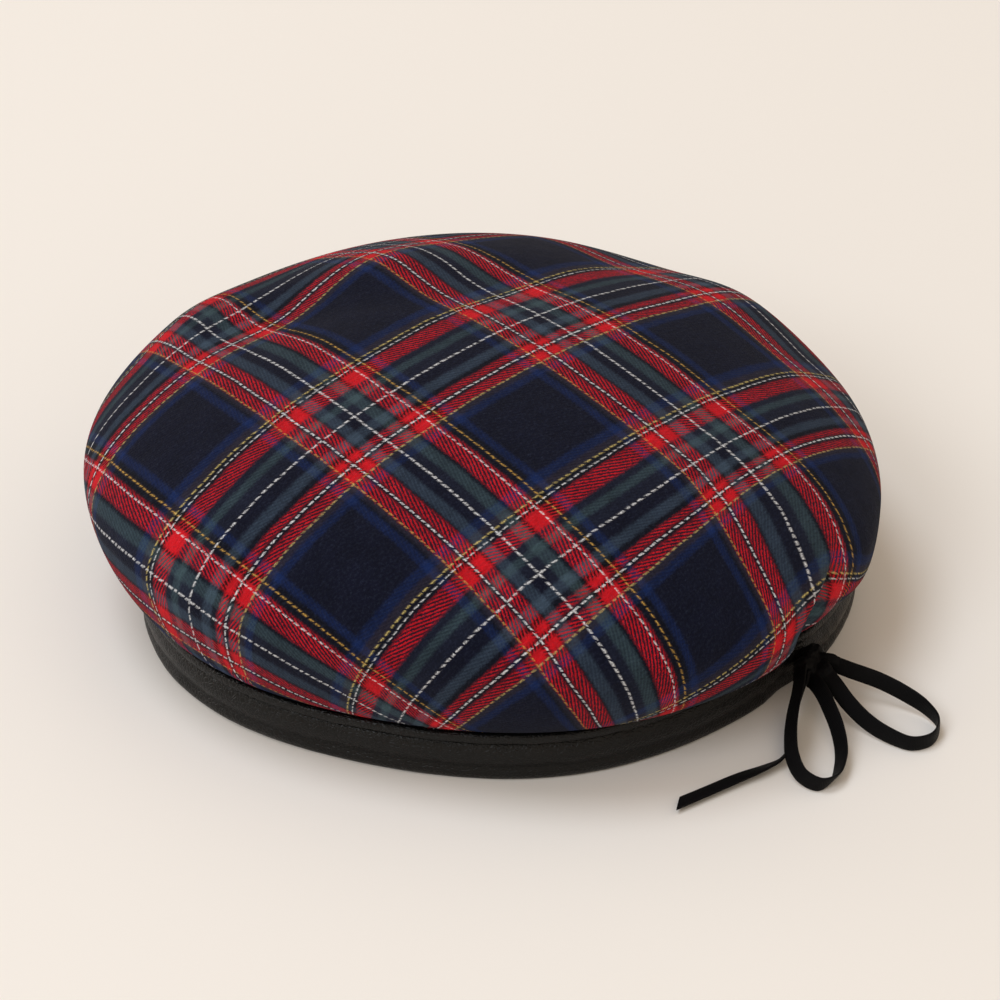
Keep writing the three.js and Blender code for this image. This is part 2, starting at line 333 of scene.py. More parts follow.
# A smooth line through points; even = 0 spaces its bends by the points, and 0.5 by their distance
def lineThrough(points, count, even):
    points = np.array(points, float)
    first = 2 * points[0] - points[1]
    last = 2 * points[-1] - points[-2]
    padded = np.vstack([first, points, last])
    found = []
    for share in np.linspace(0, len(points) - 1, count):
        at = min(int(share), len(points) - 2)
        a, b, c, d = padded[at:at + 4]
        ab, bc, cd = (max(1e-4, np.linalg.norm(q - p) ** even) for p, q in ((a, b), (b, c), (c, d)))
        leave = ((b - a) / ab - (c - a) / (ab + bc) + (c - b) / bc) * bc
        arrive = ((c - b) / bc - (d - b) / (bc + cd) + (d - c) / cd) * bc
        t = share - at
        found.append(b + leave * t + (3 * c - 3 * b - 2 * leave - arrive) * t ** 2
                     + (2 * b - 2 * c + leave + arrive) * t ** 3)
    return np.array(found)


def unit(rows):
    return rows / np.linalg.norm(rows, axis=-1, keepdims=True)


# A closed strip of a rounded flat section, swept along a line
def sweepTape(name, middles, edges, widths, thicknesses, cut=0.0, looped=False):
    ahead = unit(np.gradient(middles, axis=0))
    if looped:
        ahead = unit(np.roll(middles, -1, 0) - np.roll(middles, 1, 0))
    edge = unit(edges - ahead * (edges * ahead).sum(1, keepdims=True))
    face = np.cross(ahead, edge)
    turns = (np.arange(ribbon['sides']) + 0.5) / ribbon['sides'] * 2 * math.pi
    across = np.sign(np.cos(turns)) * np.abs(np.cos(turns)) ** 0.6 / 2
    through = np.sign(np.sin(turns)) * np.abs(np.sin(turns)) ** 0.7 / 2
    rings = (middles[:, None] + edge[:, None] * across[None, :, None] * widths[:, None, None]
             + face[:, None] * through[None, :, None] * thicknesses[:, None, None])
    length = np.concatenate([[0], np.cumsum(np.linalg.norm(np.diff(middles, axis=0), axis=1))])
    slanted = np.clip(1 - (length[-1] - length) / ribbon['slantFrom'], 0, 1) ** 1.5 * cut
    rings = rings + ahead[:, None] * (slanted[:, None] * across[None, :] * widths[:, None])[..., None]
    count, sides = len(middles), ribbon['sides']
    faces = []
    for row in range(count if looped else count - 1):
        here, after = row * sides, (row + 1) % count * sides
        for side in range(sides):
            beside = (side + 1) % sides
            faces.append((here + side, here + beside, after + beside, after + side))
    if not looped:
        faces.append(tuple(range(sides))[::-1])
        faces.append(tuple((count - 1) * sides + side for side in range(sides)))
    mesh = bpy.data.meshes.new(name)
    mesh.from_pydata((rings.reshape(-1, 3) * mm).tolist(), [], faces)
    piece = bpy.data.objects.new(name, mesh)
    bpy.context.scene.collection.objects.link(piece)
    pick(piece)
    bpy.ops.object.mode_set(mode='EDIT')
    bpy.ops.mesh.select_all(action='SELECT')
    bpy.ops.mesh.normals_make_consistent(inside=False)
    bpy.ops.object.mode_set(mode='OBJECT')
    mapSurface(piece, 'tape', np.repeat(length, sides), np.tile(across * ribbon['width'], count))
    return piece


def tapeLook():
    look = Look('woven tape')
    where = look.node('ShaderNodeUVMap', {'uv_map': 'tape'})
    parts = look.node('ShaderNodeSeparateXYZ', {}, [where])
    along, across = parts, parts.output('Y')
    ribs = (along * (2 * math.pi / 0.42)).math('SINE')
    threads = (across * (2 * math.pi / 0.3)).math('SINE')
    place = look.node('ShaderNodeTexCoord', give=3)
    cloudy = look.noise(place, 260.0, 3.0)
    fibres = look.noise(look.vector(along * 2.2, across * 9.0), 1.0, 4.0, 0.7)
    colour = look.mix(cloudy, tint(5, 5, 7), tint(11, 11, 13))
    colour = look.mix(look.mapRange(fibres, 0.5, 0.8, (0.0, 0.5)), colour, tint(22, 22, 25))
    roughness = look.mapRange(cloudy, 0.3, 0.7, (0.5, 0.68))
    relief = look.bump(ribs * 0.5 + threads * 0.25 + fibres * 0.8, 0.00008, 0.7)
    return look.surface({'Base Color': colour, 'Roughness': roughness, 'Normal': relief,
                         'Specular IOR Level': 0.1, 'Sheen Weight': 0.015, 'Sheen Roughness': 0.4})


tape = tapeLook()


def makeRibbon(name, route, cut=0.0):
    place = knotPlace()
    points = [place * (1, 1, 0) + row[:3] for row in route]
    rough = lineThrough(points, ribbon['measureSteps'], 0.5)
    length = np.linalg.norm(np.diff(rough, axis=0), axis=1).sum()
    count = int(length / ribbon['step'])
    middles = lineThrough(points, count, 0.5)
    edges = lineThrough([row[3] for row in route], count, 0)
    widths = np.full(count, ribbon['width'])
    thicknesses = np.full(count, ribbon['thickness'])
    piece = sweepTape(name, middles, edges, widths, thicknesses, cut)
    finishPiece(piece, name.replace('tape_', ''), tape)
    print(name, "is", round(length, 1), "mm long")


makeRibbon('tape_bow_loop_left', loopLeftRoute)
makeRibbon('tape_bow_loop_right', loopRightRoute)
makeRibbon('tape_bow_tail', tailRoute, ribbon['cut'])


# The knot: two wraps of tape drawn tight round the roots of the loops and the tail
knotWraps = {
    'wraps': [(0.22, 0.4, 1.0), (-0.35, -1.6, 0.86)],  # lean, shift along the binding and size
    'wrapSteps': 72, 'wrapWidth': 5.6, 'wrapThickness': 1.6, 'pinch': 0.82,
    'rootSteps': 24, 'rootWidth': 5.4, 'rootThickness': 2.4, 'rootReach': 0.45,
    'endWidth': 1.02, 'endThickness': 1.2,  # times the ribbon's own
    'voxel': 0.22, 'smoothing': 3, 'nudge': (-0.6, -0.6, -1.4),
    'creaseDepth': 0.35, 'creaseScale': 0.55, 'fineCreases': 2.3,
}


def makeKnot():
    place = knotPlace() + knotWraps['nudge']
    turn = math.radians(knot['angle'])
    outward = np.array([math.cos(turn), math.sin(turn), 0])
    beside = np.array([-math.sin(turn), math.cos(turn), 0])
    upward = np.array([0, 0, 1.0])
    steps = knotWraps['wrapSteps']
    around = np.linspace(0, 2 * math.pi, steps, endpoint=False)[:, None]
    pinch = knotWraps['pinch']
    parts = []
    for lean, shift, size in knotWraps['wraps']:
        wrap = place + size * (outward * np.cos(around) * knot['depth'] / 2 * pinch
                               + upward * np.sin(around) * knot['height'] / 2 * pinch)
        wrap = wrap + beside * (shift + lean * np.sin(around) * knot['height'] / 2)
        parts.append(sweepTape('wrap', wrap, np.repeat(beside[None], steps, 0),
                               np.full(steps, knotWraps['wrapWidth'] * size),
                               np.full(steps, knotWraps['wrapThickness']), looped=True))
    roots = [(loopLeftRoute[0], loopLeftRoute[1]), (loopLeftRoute[-1], loopLeftRoute[-2]),
             (loopRightRoute[0], loopRightRoute[1]), (loopRightRoute[-1], loopRightRoute[-2]),
             (tailRoute[0], tailRoute[1])]
    steps = knotWraps['rootSteps']
    endWidth = ribbon['width'] * knotWraps['endWidth']
    endThickness = ribbon['thickness'] * knotWraps['endThickness']
    for near, far in roots:
        start = knotPlace() * (1, 1, 0) + near[:3]
        leaving = (np.array(far[:3]) - near[:3]) * knotWraps['rootReach']
        middles = lineThrough([place, start, start + leaving], steps, 0.5)
        edges = np.repeat(np.array([near[3]], float), steps, 0)
        widths = np.linspace(knotWraps['rootWidth'], endWidth, steps)
        thicknesses = np.linspace(knotWraps['rootThickness'], endThickness, steps)
        parts.append(sweepTape('root', middles, edges, widths, thicknesses))
    deselectAll()
    for part in parts:
        part.select_set(True)
    bpy.context.view_layer.objects.active = parts[0]
    bpy.ops.object.join()
    piece = bpy.context.object
    piece.name = 'tied_knot'
    applyModifier(piece, 'REMESH', mode='VOXEL', voxel_size=knotWraps['voxel'] * mm)
    applyModifier(piece, 'SMOOTH', factor=0.5, iterations=knotWraps['smoothing'])
    pushed = []
    for point in pointsOf(piece) / mm:
        away = point - place
        spot = Vector(away * knotWraps['creaseScale'])
        depth = noise.noise(spot) + 0.5 * noise.noise(spot * knotWraps['fineCreases'])
        pushed.append(point + away / np.linalg.norm(away) * depth * knotWraps['creaseDepth'])
    movePoints(piece, np.array(pushed))
    finishPiece(piece, 'bow_knot', tape)


makeKnot()
print("the bow is tied")


# Leather for the binding and its rolled edge
leatherFinish = {
    'dark': tint(6, 6, 6), 'cloudy': tint(11, 11, 11), 'worn': tint(21, 20, 19), 'wornShare': 0.45,
    'grain': 900.0, 'roughness': (0.28, 0.4), 'grainDepth': 0.00016, 'creaseDepth': 0.0005,
}


def leatherLook():
    look = Look('black leather')
    place = look.node('ShaderNodeTexCoord', give=3)
    pebbles = look.node('ShaderNodeTexVoronoi', {'feature': 'DISTANCE_TO_EDGE'}, {
        'Vector': place, 'Scale': leatherFinish['grain']})
    fine = look.noise(place, 1700.0, 4.0, 0.6)
    cloudy = look.noise(place, 38.0, 4.0, 0.6)
    pits = look.mapRange(pebbles, 0.0, 0.22)
    wear = look.mapRange(look.noise(place, 120.0, 5.0, 0.65), 0.48, 0.72)
    colour = look.mix(cloudy, leatherFinish['dark'], leatherFinish['cloudy'])
    colour = look.mix(wear * leatherFinish['wornShare'], colour, leatherFinish['worn'])
    roughness = look.mapRange(fine * 0.6 + cloudy * 0.4, 0.3, 0.7, leatherFinish['roughness'])
    relief = look.bump(pits * 0.7 + fine * 0.6, leatherFinish['grainDepth'])
    relief = look.bump(cloudy, leatherFinish['creaseDepth'], 1.0, relief)
    return look.surface({'Base Color': colour, 'Roughness': roughness, 'Normal': relief,
                         'Specular IOR Level': 0.24})


leather = leatherLook()

# The binding's section as insets from its outer face and heights, from the outer bulge up and round
bandSection = [
    (0.05, 8.0), (0.3, 9.4), (0.8, 10.7), (1.45, 11.7), (2.05, 12.1), (2.5, 11.9), (2.1, 11), (1.6, 9.6),
    (1.3, 8), (1.3, 6), (1.5, 4), (1.9, 2.2), (2.5, 1.35), (3.4, 1.1), (4.3, 1.15), (4.75, 1.6), (4.9, 3),
    (4.9, 7), (4.9, 12), (5.05, 12.9), (5.45, 13.2), (5.85, 12.9), (6, 12), (6, 7), (6, 1.5), (5.9, 0.5),
    (5.5, 0.05), (4.5, 0), (3, 0), (1.9, 0.03), (1.1, 0.25), (0.6, 0.8), (0.3, 1.7), (0.25, 2.6), (0.4, 3.5),
    (0.75, 4.3), (0.72, 4.9), (0.35, 5.8), (0.1, 6.8),
]
weltSection = {
    'width': 2.6, 'height': 3.1, 'gap': 0.3, 'floor': 12.3, 'hemInset': 3.0, 'sides': 28, 'roundness': 0.9,
    'inward': (0.8, 9.0, 0.3), 'upward': (0.5, 14.0, 0.25),  # ripples: scale, seed and depth
}
ripple = {'reach': 15.0, 'climb': 0.12}
fineSteps = 4000


# A closed line through a section's points, with its steps all as long
def roundLine(points, count):
    wrapped = points[-2:] + points + points[:3]
    fine = lineThrough(wrapped, fineSteps, 0.5)
    shares = np.linspace(0, len(wrapped) - 1, fineSteps)
    fine = fine[(shares >= 2) & (shares <= len(points) + 2)]
    length = np.concatenate([[0], np.cumsum(np.linalg.norm(np.diff(fine, axis=0), axis=1))])
    wanted = np.linspace(0, length[-1], count, endpoint=False)
    return np.stack([np.interp(wanted, length, fine[:, axis]) for axis in range(2)], 1)


def ringPiece(name, section, sidesAround, shift):
    deselectAll()
    sidesThrough = len(section)
    bpy.ops.mesh.primitive_torus_add(major_segments=sidesAround, minor_segments=sidesThrough,
                                     major_radius=1, minor_radius=0.1)
    piece = bpy.context.object
    piece.name = name
    points = pointsOf(piece)
    angle = np.arctan2(points[:, 1], points[:, 0])
    through = np.arctan2(points[:, 2], np.hypot(points[:, 0], points[:, 1]) - 1)
    row = np.round(through / (2 * math.pi) * sidesThrough).astype(int) % sidesThrough
    inset, height = section[row, 0], section[row, 1]
    movedInset, movedHeight = shift(angle, inset, height)
    movePoints(piece, bandPoint(angle, movedInset, movedHeight))
    return piece


def rippleAt(angle, height, scale, seed, depth):
    reach = ripple['reach']
    spots = [(reach * math.cos(a) * scale, reach * math.sin(a) * scale, h * ripple['climb'] + seed)
             for a, h in zip(angle, height)]
    return np.array([noise.noise(Vector(spot)) for spot in spots]) * depth


def makeBand():
    puckers = band['puckers']

    def shift(angle, inset, height):  # only the outer face ripples, and less near the surface below
        outer = np.clip((2.6 - inset) / 1.2, 0, 1) * np.clip(height / 3, 0, 1)
        waver = sum(rippleAt(angle, height, *row) for row in band['ripples'])
        near = humpAt(angle, knot['angle'], puckers['spread'])
        pucker = near * np.sin(angle * puckers['count']) * puckers['depth']
        return inset - outer * (waver + pucker), height

    section = roundLine(bandSection, band['sidesThrough'])
    piece = ringPiece('leather_binding', section, band['sidesAround'], shift)
    finishPiece(piece, 'headband', leather)


def makeWelt():
    middleInset = weltSection['hemInset'] - weltSection['gap'] - weltSection['width'] / 2
    middleHeight = weltSection['floor'] + weltSection['height'] / 2
    turns = np.arange(weltSection['sides']) / weltSection['sides'] * 2 * math.pi
    power = weltSection['roundness']
    across, upward = np.cos(turns), np.sin(turns)
    inset = middleInset - weltSection['width'] / 2 * np.sign(across) * np.abs(across) ** power
    height = middleHeight + weltSection['height'] / 2 * np.sign(upward) * np.abs(upward) ** power

    def shift(angle, inset, height):
        inward = rippleAt(angle, height, *weltSection['inward'])
        return inset + inward, height + rippleAt(angle, height, *weltSection['upward'])

    piece = ringPiece('rolled_edge', np.stack([inset, height], 1), band['sidesAround'], shift)
    finishPiece(piece, 'band_welt', leather)


makeBand()
makeWelt()
print("the binding is folded")


# The crown swells out over the binding and domes up from its rim
crown = {
    'halfLength': 109.5, 'halfWidth': 96, 'turn': -13, 'centre': (2.3, -1.9),
    'rimHeight': 39.3, 'domeRise': 35.4, 'neckHeight': 15.7, 'hemInset': 3.0, 'hemFloor': 1.4, 'wall': 1.6,
    'domeAcross': 2.1, 'domeUp': 1.9, 'under': 1.9, 'overhang': 10.3,
    'waves': {1: (-0.013, 0.003), 3: (-0.015, -0.018), 4: (-0.002, 0.006), 5: (0, 0.004)},
    'dentFade': 2.5, 'gatherAtRim': 0.2, 'gatherStart': 0.6, 'gatherBelow': 0.7,
    'sidesAround': 288, 'domeRows': 84, 'underRows': 40, 'hemRows': 6, 'spareRings': 24,
    'crowd': {'angle': -32, 'spread': 11, 'times': 3.5},
}
domeDents = [  # place, turn, spreads and rise, as shares
    {'name': 'back left ridge', 'x': -0.27, 'y': 0.46, 'turn': 16,
     'long': 0.15, 'wide': 0.13, 'rise': 0.195},
    {'name': 'valley before it', 'x': -0.345, 'y': 0.37, 'turn': 8,
     'long': 0.32, 'wide': 0.095, 'rise': -0.15},
    {'name': 'back left swell', 'x': -0.75, 'y': 0.4, 'turn': 55,
     'long': 0.13, 'wide': 0.08, 'rise': 0.15},
    {'name': 'back right dip', 'x': 0.35, 'y': 0.7, 'turn': -20,
     'long': 0.12, 'wide': 0.1, 'rise': -0.07},
    {'name': 'swell beside it', 'x': 0.64, 'y': 0.57, 'turn': -40,
     'long': 0.13, 'wide': 0.11, 'rise': 0.08},
    {'name': 'right dip', 'x': 0.78, 'y': 0.31, 'turn': -60,
     'long': 0.11, 'wide': 0.082, 'rise': -0.057},
]
gathers = [{'name': 'fold over the knot', 'angle': -27, 'spread': 5, 'depth': 0.75},
           {'name': 'swell beside it', 'angle': -15, 'spread': 9, 'depth': -0.25}]
# A sharp crease that runs down to the knot and a puff beside it. Each row is a share of the way (1 is the rim
# and 2 the neck), an angle and a depth.
creases = [
    {'name': 'crease', 'spread': 2.4, 'power': 1.2, 'sign': 1, 'rows': [
        (0.78, -25, 0), (0.86, -29, 1.2), (0.94, -33, 3.4), (1, -35, 5), (1.2, -36.5, 6), (1.5, -35, 5.5),
        (2, -31, 0)]},
    {'name': 'puff', 'spread': 4.5, 'power': 2, 'sign': -1, 'rows': [
        (0.8, -19, 0), (0.95, -22, 0.8), (1.15, -24, 1.4), (1.5, -25, 1), (2, -26, 0)]},
]


def gatherDepth(angle):
    depths = sum(row['depth'] * humpAt(angle, row['angle'], row['spread']) for row in gathers)
    return depths * crown['overhang']


def creaseAt(angle, way):
    found = 0
    for fold in creases:
        ways, middles, depths = zip(*fold['rows'])
        away = np.abs(np.degrees(angle) - np.interp(way, ways, middles)) / fold['spread']
        found = found + fold['sign'] * np.interp(way, ways, depths) * np.exp(-away ** fold['power'])
    return found


def domePoint(angle, share):
    turn = math.pi / 2 * (1 - share)
    late = np.clip((share - crown['gatherStart']) / (1 - crown['gatherStart']), 0, None)
    rim = ovalReach(crown['halfLength'], crown['halfWidth'], crown['turn'], angle)
    rim = rim * (1 + stray(crown['waves'], angle))
    gathered = gatherDepth(angle) * crown['gatherAtRim'] * late
    reach = rim * np.abs(np.cos(turn)) ** (2 / crown['domeAcross']) - gathered
    reach = reach - creaseAt(angle, share)
    lift = np.abs(np.sin(turn)) ** (2 / crown['domeUp'])
    x = crown['centre'][0] + reach * np.cos(angle)
    y = crown['centre'][1] + reach * np.sin(angle)
    rise = 0
    for dent in domeDents:
        dx = x - crown['centre'][0] - dent['x'] * crown['halfLength']
        dy = y - crown['centre'][1] - dent['y'] * crown['halfWidth']
        lean = math.radians(dent['turn'])
        along = (dx * math.cos(lean) + dy * math.sin(lean)) / (dent['long'] * crown['halfLength'])
        beside = (dy * math.cos(lean) - dx * math.sin(lean)) / (dent['wide'] * crown['halfLength'])
        rise = rise + dent['rise'] * crown['domeRise'] * np.exp(-(along ** 2 + beside ** 2) / 2)
    z = crown['rimHeight'] + crown['domeRise'] * lift + rise * np.minimum(1, crown['dentFade'] * lift)
    return np.stack([x, y, z], -1)


def underPoint(angle, share):
    turn = math.pi / 2 * share
    neck = bandPoint(angle, crown['hemInset'], crown['neckHeight'])
    rim = domePoint(angle, np.ones_like(share))
    out = np.abs(np.cos(turn)) ** (2 / crown['under'])
    down = np.abs(np.sin(turn)) ** (2 / crown['under'])
    fold = gatherDepth(angle) * crown['gatherBelow'] * np.sin(math.pi * share ** 2)
    fold = fold + creaseAt(angle, 1 + share) - creaseAt(angle, np.ones_like(share)) * out
    x = neck[:, 0] + (rim[:, 0] - neck[:, 0]) * out - fold * np.cos(angle)
    y = neck[:, 1] + (rim[:, 1] - neck[:, 1]) * out - fold * np.sin(angle)
    return np.stack([x, y, rim[:, 2] + (neck[:, 2] - rim[:, 2]) * down], -1)


# How the flat cloth lies on the dome: its turn, the places of its yellow lines and its stretches
drape = {
    'turn': -2.8, 'repeatA': 67.0, 'repeatB': 72.9, 'startA': 25.9, 'startB': -26.1,
    'spread': (-0.047, 0.0137), 'square': (-0.017, -0.28),
    'slipX': (0.0089, -0.0604, 0.004), 'slipY': (0.0023, -0.0373, -0.0648),
    'pulls': [  # the bow draws the cloth in above the knot
        {'angle': -43, 'spread': 8.5, 'from': 62, 'to': 112, 'warp': -8, 'weft': 0},
        {'angle': -20, 'spread': 9, 'from': 55, 'to': 95, 'warp': 3.5, 'weft': 0},
        {'angle': -29, 'spread': 17, 'from': 62, 'to': 112, 'warp': 0, 'weft': 9.5},
        {'angle': -20, 'spread': 7, 'from': 98, 'to': 121, 'warp': 0, 'weft': -8},
    ],
}


def clothPlace(angle, length):
    size = 100.0  # slips and spreads are stated for 100 mm from the top
    reach = length.copy()
    for _ in range(12):
        far = reach / size
        square = drape['square'][0] * far ** 2 * np.cos(4 * (angle - drape['square'][1]))
        reach = length / (1 + drape['spread'][0] * far ** 2 + drape['spread'][1] * far ** 4 + square)
    slidX, slidY = reach * np.cos(angle), reach * np.sin(angle)
    x, y = slidX.copy(), slidY.copy()
    for _ in range(16):
        terms = np.stack([x * x, x * y, y * y]) / size
        x = slidX - np.tensordot(drape['slipX'], terms, 1)
        y = slidY - np.tensordot(drape['slipY'], terms, 1)
    warp, weft = math.radians(225 + drape['turn']), math.radians(315 + drape['turn'])
    u, v = x * math.cos(warp) + y * math.sin(warp), x * math.cos(weft) + y * math.sin(weft)
    for pull in drape['pulls']:
        share = np.clip((length - pull['from']) / (pull['to'] - pull['from']), 0, 1)
        pulled = humpAt(angle, pull['angle'], pull['spread']) * share ** 2 * (3 - 2 * share)
        u, v = u + pull['warp'] * pulled, v + pull['weft'] * pulled
    return u, v


# The crown's sides stand closer together beside the knot, where the crease is
def crowdSides(angle):
    crowd = crown['crowd']
    grid = np.linspace(-math.pi, math.pi, 2001)
    density = 1 + crowd['times'] * humpAt(grid, crowd['angle'], crowd['spread'])
    total = np.concatenate([[0], np.cumsum((density[1:] + density[:-1]) / 2)])
    return np.interp((angle + math.pi) / (2 * math.pi), total / total[-1], grid)


def makeCrown(look):
    rows = crown['domeRows'] + crown['underRows'] + crown['hemRows']
    ringCount = rows + crown['spareRings']  # the rings below the hem are taken away
    deselectAll()
    bpy.ops.mesh.primitive_uv_sphere_add(segments=crown['sidesAround'], ring_count=ringCount, radius=1)
    piece = bpy.context.object
    piece.name = 'tartan_crown'
    bpy.ops.object.mode_set(mode='EDIT')
    bpy.ops.mesh.select_all(action='SELECT')
    lowest = math.cos(math.pi * (rows + 0.5) / ringCount)
    bpy.ops.mesh.bisect(plane_co=(0, 0, lowest), plane_no=(0, 0, 1), clear_inner=True)
    bpy.ops.object.mode_set(mode='OBJECT')
    points = pointsOf(piece)
    angle = crowdSides(np.arctan2(points[:, 1], points[:, 0]))
    row = np.arccos(np.clip(points[:, 2], -1, 1)) / math.pi * ringCount
    row = np.minimum(np.round(row * 2) / 2, rows)
    domeShare = np.clip(row / crown['domeRows'], 0, 1)
    underShare = np.clip((row - crown['domeRows']) / crown['underRows'], 0, 1)
    hemShare = np.clip((row - crown['domeRows'] - crown['underRows']) / crown['hemRows'], 0, 1)
    onDome = (row <= crown['domeRows'])[:, None]
    placed = np.where(onDome, domePoint(angle, domeShare), underPoint(angle, underShare))
    hemHeight = crown['neckHeight'] + (crown['hemFloor'] - crown['neckHeight']) * hemShare
    placed = np.where((hemShare > 0)[:, None], bandPoint(angle, crown['hemInset'], hemHeight), placed)
    length = meridianLength(angle, row)
    movePoints(piece, placed)
    u, v = clothPlace(angle, length)
    mapSurface(piece, 'cloth', u, v)
    for layer in [one for one in piece.data.uv_layers if one.name != 'cloth']:
        piece.data.uv_layers.remove(layer)
    applyModifier(piece, 'SOLIDIFY', thickness=crown['wall'] * mm, offset=-1)
    finishPiece(piece, 'crown', look)
    return piece


# Read by makeCrown: the length of cloth from the top of the dome to a row of the crown, at an angle
def meridianLength(angle, row):
    angles = np.linspace(-math.pi, math.pi, 361)
    top = np.linspace(0, crown['domeRows'], 200)
    below = np.linspace(0, crown['underRows'], 100)[1:]
    table = []
    for each in angles:
        same = np.full(len(top), each)
        line = np.vstack([domePoint(same, top / crown['domeRows']),
                          underPoint(same[:len(below)], below / crown['underRows'])])
        table.append(np.concatenate([[0], np.cumsum(np.linalg.norm(np.diff(line, axis=0), axis=1))]))
    table = np.array(table)
    knots = np.concatenate([top, crown['domeRows'] + below])
    lengths = np.empty(len(angle))
    at = (angle + math.pi) / (2 * math.pi) * 360
    low = np.clip(np.floor(at).astype(int), 0, 359)
    for index in range(len(angle)):
        share = at[index] - low[index]
        blended = table[low[index]] * (1 - share) + table[low[index] + 1] * share
        lengths[index] = np.interp(row[index], knots, blended)
    hemLength = (crown['neckHeight'] - crown['hemFloor']) / crown['hemRows']
    return lengths + np.clip(row - crown['domeRows'] - crown['underRows'], 0, None) * hemLength


# Tartan: stripes from one yellow line to the next, as shares of the repeat
wool = {  # the last number says how far a colour stands out over the threads that cross it
    'navy': tint(14, 17, 35, 0.3), 'blue': tint(20, 39, 86, 0.5), 'red': tint(204, 22, 34, 1.0),
    'black': tint(10, 11, 16, 0.2), 'green': tint(62, 82, 90, 0.55), 'grey': tint(60, 76, 94, 0.5),
    'mauve': tint(50, 45, 58, 0.5), 'dusk': tint(30, 35, 52, 0.35),
    'white': tint(246, 249, 255), 'straw': tint(226, 206, 128), 'amber': tint(222, 176, 88),
}
stripesA = [
    ('black', 0.034), ('red', 0.118), ('black', 0.137), ('green', 0.188), ('dusk', 0.225), ('navy', 0.285),
    ('grey', 0.336), ('black', 0.348), ('red', 0.397), ('black', 0.424), ('red', 0.475), ('mauve', 0.498),
    ('black', 0.515), ('blue', 0.552), ('navy', 0.935), ('blue', 0.97), ('black', 1),
]
stripesB = [
    ('black', 0.042), ('red', 0.112), ('dusk', 0.148), ('green', 0.184), ('dusk', 0.235), ('navy', 0.306),
    ('grey', 0.352), ('black', 0.381), ('red', 0.41), ('black', 0.443), ('red', 0.485), ('mauve', 0.519),
    ('blue', 0.552), ('navy', 0.92), ('blue', 0.962), ('mauve', 1),
]
linesA = [('amber', 0.0, 0.36), ('white', 0.05, 0.34), ('white', 0.234, 0.5), ('white', 0.408, 0.46),
          ('amber', 0.474, 0.28)]
linesB = [('straw', 0.0, 0.42), ('white', 0.023, 0.34), ('white', 0.243, 0.48), ('white', 0.424, 0.5),
          ('straw', 0.49, 0.3)]
weave = {
    'hatch': 0.95, 'hatchA': (0.92, -0.38), 'hatchB': (0.44, 0.9), 'least': 0.05, 'most': 0.9,
    'dashA': 2.1, 'dashB': 2.3, 'dashLean': 0.9, 'blur': 0.007, 'jitter': 1.25, 'sway': 0.6,
    'softEdge': 0.14, 'over': 0.92,
}
mostStops = 32  # a colour ramp holds no more


# A wide stripe has two stops, and a narrow one has one where there are too many for the ramp
def groundStops(stripes):
    ends = [0] + [end for name, end in stripes]
    widths = sorted(end - start for start, end in zip(ends, ends[1:]))
    tooMany = 2 * len(stripes) - mostStops
    narrow = widths[tooMany] if tooMany > 0 else 0
    stops = []
    start = 0.0
    for name, end in stripes:
        if end - start < narrow and start and end < 1:
            stops.append(((start + end) / 2, wool[name]))
        else:
            blur = min(weave['blur'], (end - start) / 2.5)
            stops.append((start + blur if start else 0.0, wool[name]))
            stops.append((end - blur if end < 1 else 1.0, wool[name]))
        start = end
    return stops


def lineStops(lines, repeat):
    stops = []
    for name, middle, width in lines:
        colour = wool[name]
        clear = (*colour[:3], 0.0)
        half, soft = width / repeat / 2, weave['softEdge'] / repeat
        rows = [(middle - half - soft, clear), (middle - half + soft, colour),
                (middle + half - soft, colour), (middle + half + soft, clear)]
        stops += [row for row in rows if row[0] >= 0] if middle else rows[2:]
    name, middle, width = lines[0]  # the first line goes over the end of the repeat
    half, soft = width / repeat / 2, weave['softEdge'] / repeat
    stops += [(1 - half - soft, (*wool[name][:3], 0.0)), (1 - half + soft, wool[name])]
    return stops


